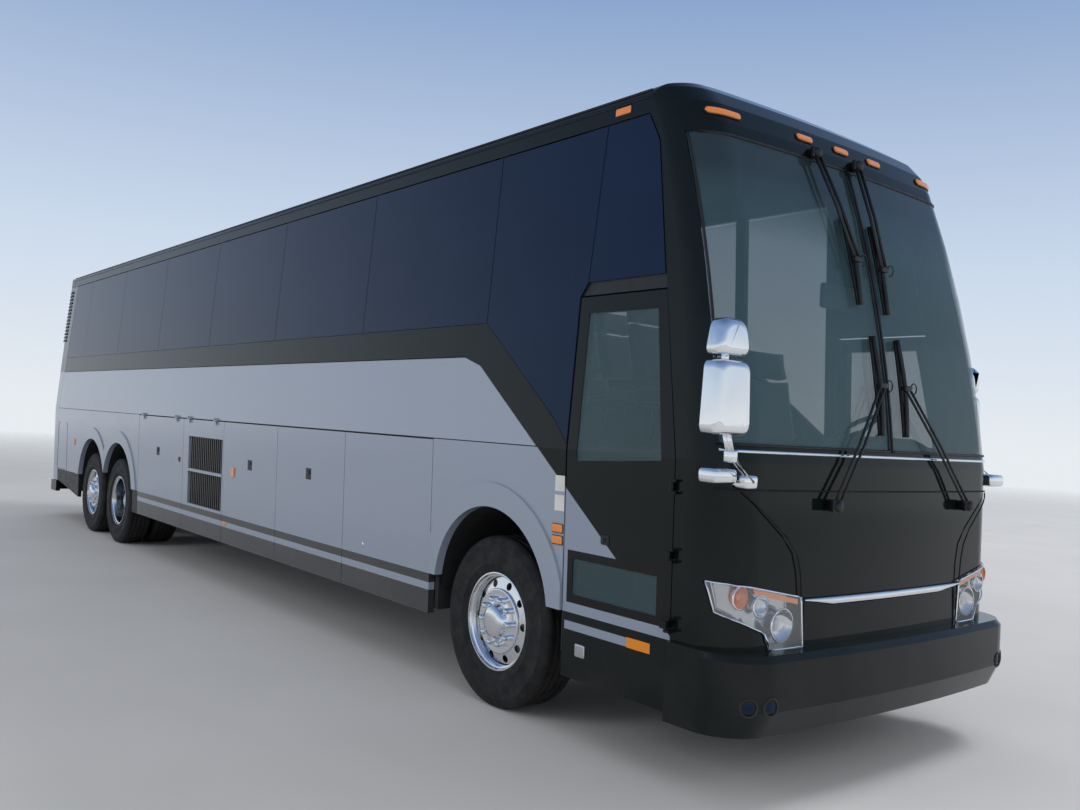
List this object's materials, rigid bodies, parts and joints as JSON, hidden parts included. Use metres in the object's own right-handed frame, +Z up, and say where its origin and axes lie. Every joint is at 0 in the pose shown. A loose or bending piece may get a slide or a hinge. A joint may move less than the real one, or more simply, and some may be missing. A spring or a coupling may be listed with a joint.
{
  "type": "coach bus",
  "caption": "High-deck touring coach with tinted panes, raked windshield, side baggage doors, front entrance door and three axles.",
  "frame": {"origin": "on the ground, midway along and across the coach", "axes": "+X forward, +Y to the left, +Z up"},
  "size_m": [13.7198, 3, 3.6988],
  "materials": {
    "pale_paint": "gloss, very light silver",
    "dark_paint": "gloss, green black",
    "dark_glass": "dark tinted, gloss",
    "clear_glass": "lightly tinted, gloss",
    "black_steel": "satin black",
    "floor_grey": "studded, matt",
    "dash_plastic": "grained, matt",
    "seat_fabric": "woven plush",
    "chrome": "polished",
    "wheel_alloy": "polished",
    "tyre_rubber": "satin rubber",
    "black_rubber": "matt",
    "amber_lens": "amber lens",
    "red_lens": "red lens",
    "clear_lens": "clear lens over bright reflectors",
    "engine_iron": "cast"
  },
  "bodies": {
    "root": {"baggage_bay": "black_steel", "belt_panels": "dark_paint", "bumpers": "dark_paint", "cabin_floor": "floor_grey", "cabin_windows": "dark_glass", "dashboard": "dash_plastic", "driver_seat": "seat_fabric", "engine_block": "engine_iron", "front_axle": "black_steel", "front_mask": "dark_paint", "front_trim": "chrome", "headlights": "clear_lens", "lower_skirts": "black_rubber", "marker_lamps": "amber_lens", "mirrors": "chrome", "passenger_seats": "seat_fabric", "rear_axles": "black_steel", "rear_cap": "pale_paint", "roof_panel": "dark_paint", "side_panels": "pale_paint", "tail_lamps": "red_lens", "underframe": "black_steel", "window_posts": "black_rubber", "windshield_frame": "dark_paint", "windshield_panes": "clear_glass", "wipers": "black_rubber"},
    "entry_door": {"entry_door": "dark_paint", "entry_door_glass": "clear_glass"},
    "engine_door": {"engine_door": "pale_paint"},
    "steering_wheel": {"steering_wheel": "dash_plastic"},
    "knuckle_left": {"knuckle_left": "black_steel"},
    "condenser_door_left": {"condenser_door_left": "pale_paint"},
    "service_door_left": {"service_door_left": "pale_paint"},
    "wheel_front_left": {"rim_front_left": "wheel_alloy", "tyre_front_left": "tyre_rubber"},
    "wheel_drive_left": {"rim_drive_left": "wheel_alloy", "tyre_drive_left": "tyre_rubber"},
    "wheel_tag_left": {"rim_tag_left": "wheel_alloy", "tyre_tag_left": "tyre_rubber"},
    "bay_arm_1_left": {"bay_arm_1_left": "black_steel"},
    "bay_door_1_left": {"bay_door_1_left": "pale_paint"},
    "bay_arm_2_left": {"bay_arm_2_left": "black_steel"},
    "bay_door_2_left": {"bay_door_2_left": "pale_paint"},
    "bay_arm_3_left": {"bay_arm_3_left": "black_steel"},
    "bay_door_3_left": {"bay_door_3_left": "pale_paint"},
    "knuckle_right": {"knuckle_right": "black_steel"},
    "condenser_door_right": {"condenser_door_right": "pale_paint"},
    "service_door_right": {"service_door_right": "pale_paint"},
    "wheel_front_right": {"rim_front_right": "wheel_alloy", "tyre_front_right": "tyre_rubber"},
    "wheel_drive_right": {"rim_drive_right": "wheel_alloy", "tyre_drive_right": "tyre_rubber"},
    "wheel_tag_right": {"rim_tag_right": "wheel_alloy", "tyre_tag_right": "tyre_rubber"},
    "bay_arm_1_right": {"bay_arm_1_right": "black_steel"},
    "bay_door_1_right": {"bay_door_1_right": "pale_paint"},
    "bay_arm_2_right": {"bay_arm_2_right": "black_steel"},
    "bay_door_2_right": {"bay_door_2_right": "pale_paint"},
    "bay_arm_3_right": {"bay_arm_3_right": "black_steel"},
    "bay_door_3_right": {"bay_door_3_right": "pale_paint"}
  },
  "joints": [
    {"name": "entry_door_swing", "type": "hinge", "parent": "root", "child": "entry_door", "pos_m": [6.328, -1.31, 1.4], "axis": [0, 0, 1], "range_deg": [0, 90]},
    {"name": "engine_door_lift", "type": "hinge", "parent": "root", "child": "engine_door", "pos_m": [-6.815, 0, 1.574], "axis": [0, 1, 0], "range_deg": [0, 80]},
    {"name": "steer_left", "type": "hinge", "parent": "root", "child": "knuckle_left", "pos_m": [4.81, 0.9, 0.525], "axis": [0, 0, 1], "range_deg": [-38, 38]},
    {"name": "steer_right", "type": "hinge", "parent": "root", "child": "knuckle_right", "pos_m": [4.81, -0.9, 0.525], "axis": [0, 0, 1], "range_deg": [-38, 38]},
    {"name": "steering_wheel_turn", "type": "hinge", "parent": "root", "child": "steering_wheel", "pos_m": [6.04, 0.64, 1.77], "axis": [-0.6428, 0, 0.766], "range_deg": [-740, 740]},
    {"name": "roll_front_left", "type": "hinge", "parent": "knuckle_left", "child": "wheel_front_left", "pos_m": [4.81, 1.085, 0.525], "axis": [0, 1, 0], "continuous": true},
    {"name": "roll_drive_left", "type": "hinge", "parent": "root", "child": "wheel_drive_left", "pos_m": [-3.22, 0.935, 0.525], "axis": [0, 1, 0], "continuous": true},
    {"name": "roll_tag_left", "type": "hinge", "parent": "root", "child": "wheel_tag_left", "pos_m": [-4.44, 1.1, 0.525], "axis": [0, 1, 0], "continuous": true},
    {"name": "condenser_door_lift_left", "type": "hinge", "parent": "root", "child": "condenser_door_left", "pos_m": [-0.244, 1.31, 1.62], "axis": [1, 0, 0], "range_deg": [0, 85]},
    {"name": "service_door_lift_left", "type": "hinge", "parent": "root", "child": "service_door_left", "pos_m": [-1.5945, 1.31, 1.62], "axis": [1, 0, 0], "range_deg": [0, 85]},
    {"name": "bay_arm_swing_1_left", "type": "hinge", "parent": "root", "child": "bay_arm_1_left", "pos_m": [3.476, 1.15, 1.49], "axis": [1, 0, 0], "range_deg": [0, 85]},
    {"name": "bay_door_level_1_left", "type": "hinge", "parent": "bay_arm_1_left", "child": "bay_door_1_left", "pos_m": [3.476, 1.185, 0.8], "axis": [1, 0, 0], "range_deg": [-86, 1]},
    {"name": "bay_arm_swing_2_left", "type": "hinge", "parent": "root", "child": "bay_arm_2_left", "pos_m": [2.218, 1.15, 1.49], "axis": [1, 0, 0], "range_deg": [0, 85]},
    {"name": "bay_door_level_2_left", "type": "hinge", "parent": "bay_arm_2_left", "child": "bay_door_2_left", "pos_m": [2.218, 1.185, 0.8], "axis": [1, 0, 0], "range_deg": [-86, 1]},
    {"name": "bay_arm_swing_3_left", "type": "hinge", "parent": "root", "child": "bay_arm_3_left", "pos_m": [0.96, 1.15, 1.49], "axis": [1, 0, 0], "range_deg": [0, 85]},
    {"name": "bay_door_level_3_left", "type": "hinge", "parent": "bay_arm_3_left", "child": "bay_door_3_left", "pos_m": [0.96, 1.185, 0.8], "axis": [1, 0, 0], "range_deg": [-86, 1]},
    {"name": "roll_front_right", "type": "hinge", "parent": "knuckle_right", "child": "wheel_front_right", "pos_m": [4.81, -1.085, 0.525], "axis": [0, 1, 0], "continuous": true},
    {"name": "roll_drive_right", "type": "hinge", "parent": "root", "child": "wheel_drive_right", "pos_m": [-3.22, -0.935, 0.525], "axis": [0, 1, 0], "continuous": true},
    {"name": "roll_tag_right", "type": "hinge", "parent": "root", "child": "wheel_tag_right", "pos_m": [-4.44, -1.1, 0.525], "axis": [0, 1, 0], "continuous": true},
    {"name": "condenser_door_lift_right", "type": "hinge", "parent": "root", "child": "condenser_door_right", "pos_m": [-0.244, -1.31, 1.62], "axis": [-1, 0, 0], "range_deg": [0, 85]},
    {"name": "service_door_lift_right", "type": "hinge", "parent": "root", "child": "service_door_right", "pos_m": [-1.5945, -1.31, 1.62], "axis": [-1, 0, 0], "range_deg": [0, 85]},
    {"name": "bay_arm_swing_1_right", "type": "hinge", "parent": "root", "child": "bay_arm_1_right", "pos_m": [3.476, -1.15, 1.49], "axis": [-1, 0, 0], "range_deg": [0, 85]},
    {"name": "bay_door_level_1_right", "type": "hinge", "parent": "bay_arm_1_right", "child": "bay_door_1_right", "pos_m": [3.476, -1.185, 0.8], "axis": [-1, 0, 0], "range_deg": [-86, 1]},
    {"name": "bay_arm_swing_2_right", "type": "hinge", "parent": "root", "child": "bay_arm_2_right", "pos_m": [2.218, -1.15, 1.49], "axis": [-1, 0, 0], "range_deg": [0, 85]},
    {"name": "bay_door_level_2_right", "type": "hinge", "parent": "bay_arm_2_right", "child": "bay_door_2_right", "pos_m": [2.218, -1.185, 0.8], "axis": [-1, 0, 0], "range_deg": [-86, 1]},
    {"name": "bay_arm_swing_3_right", "type": "hinge", "parent": "root", "child": "bay_arm_3_right", "pos_m": [0.96, -1.15, 1.49], "axis": [-1, 0, 0], "range_deg": [0, 85]},
    {"name": "bay_door_level_3_right", "type": "hinge", "parent": "bay_arm_3_right", "child": "bay_door_3_right", "pos_m": [0.96, -1.185, 0.8], "axis": [-1, 0, 0], "range_deg": [-86, 1]}
  ],
  "couplings": [
    {"joint": "steer_right", "follows": "steer_left", "ratio": 1},
    {"joint": "steering_wheel_turn", "follows": "steer_left", "ratio": 18},
    {"joint": "bay_door_level_1_left", "follows": "bay_arm_swing_1_left", "ratio": -1},
    {"joint": "bay_door_level_2_left", "follows": "bay_arm_swing_2_left", "ratio": -1},
    {"joint": "bay_door_level_3_left", "follows": "bay_arm_swing_3_left", "ratio": -1},
    {"joint": "bay_door_level_1_right", "follows": "bay_arm_swing_1_right", "ratio": -1},
    {"joint": "bay_door_level_2_right", "follows": "bay_arm_swing_2_right", "ratio": -1},
    {"joint": "bay_door_level_3_right", "follows": "bay_arm_swing_3_right", "ratio": -1}
  ]
}
